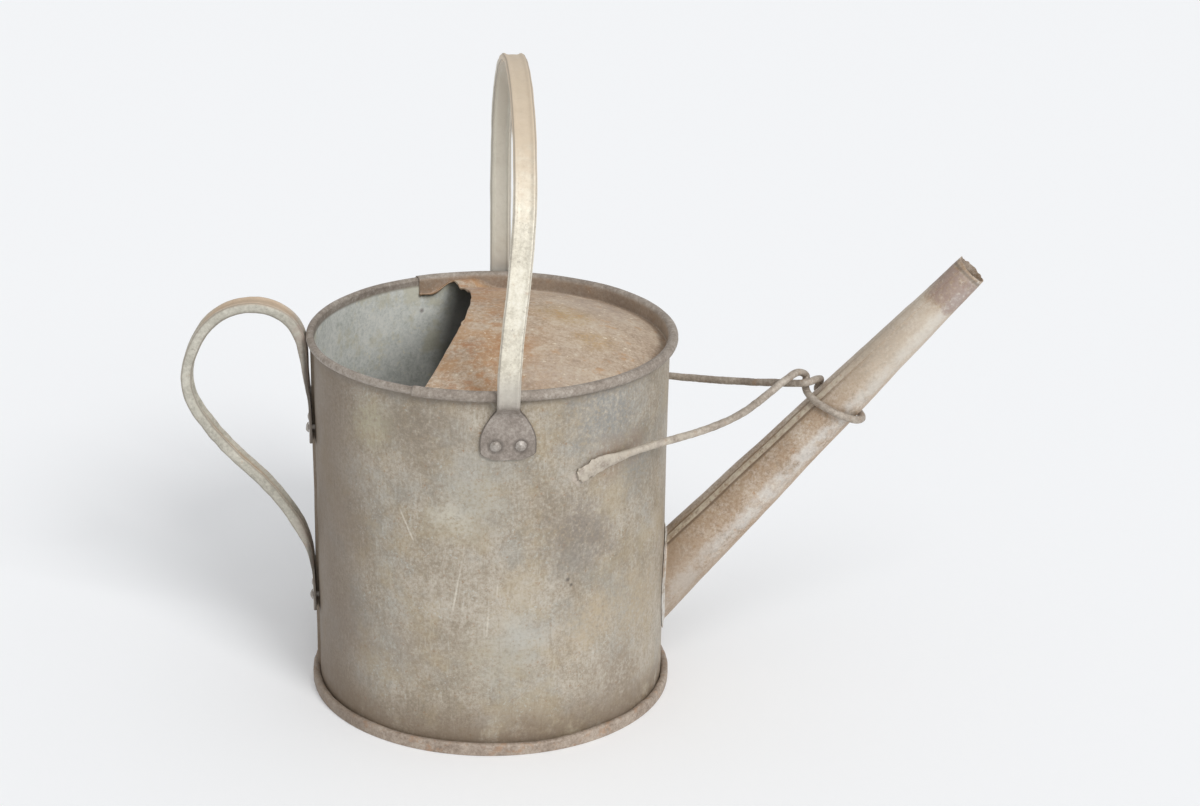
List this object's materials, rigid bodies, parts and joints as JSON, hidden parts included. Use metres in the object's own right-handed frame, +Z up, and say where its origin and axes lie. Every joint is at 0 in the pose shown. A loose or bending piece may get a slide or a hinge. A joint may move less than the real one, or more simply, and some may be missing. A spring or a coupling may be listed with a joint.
{
  "type": "watering can",
  "caption": "Weathered galvanised watering can with a half cover, a hoop handle over the top, a strap handle behind and a straight tapered spout held by a wire brace.",
  "frame": {"origin": "centre of the base, on the can's axis", "axes": "+X towards the spout, +Z up, +Y to the side that the picture doesn't show"},
  "size_m": [0.472, 0.2286, 0.3863],
  "materials": {
    "galvanised_body": "hot-dip galvanised sheet, dull, stained brown with light rust",
    "rusted_cover": "galvanised sheet with its zinc gone in places and orange rust",
    "pale_strap": "galvanised strap worn pale by the hand",
    "grey_strap": "dull grey galvanised strap with brown on its outer face",
    "spout_sheet": "yellowed galvanised sheet, stained near the mouth",
    "iron_wire": "dull iron wire with a thin brown rust",
    "rivet": "tinned iron rivet, dull and stained"
  },
  "bodies": {
    "root": {"body_wall": "galvanised_body", "bottom_plate": "galvanised_body", "rim_wire": "iron_wire", "top_cover": "rusted_cover", "bail_handle": "pale_strap", "rear_handle": "grey_strap", "spout": "spout_sheet", "spout_brace": "iron_wire", "bail_rivet_1": "rivet", "bail_rivet_2": "rivet", "bail_rivet_3": "rivet", "bail_rivet_4": "rivet", "rear_rivet_1": "rivet", "rear_rivet_2": "rivet", "rear_rivet_3": "rivet", "rear_rivet_4": "rivet"}
  },
  "joints": []
}
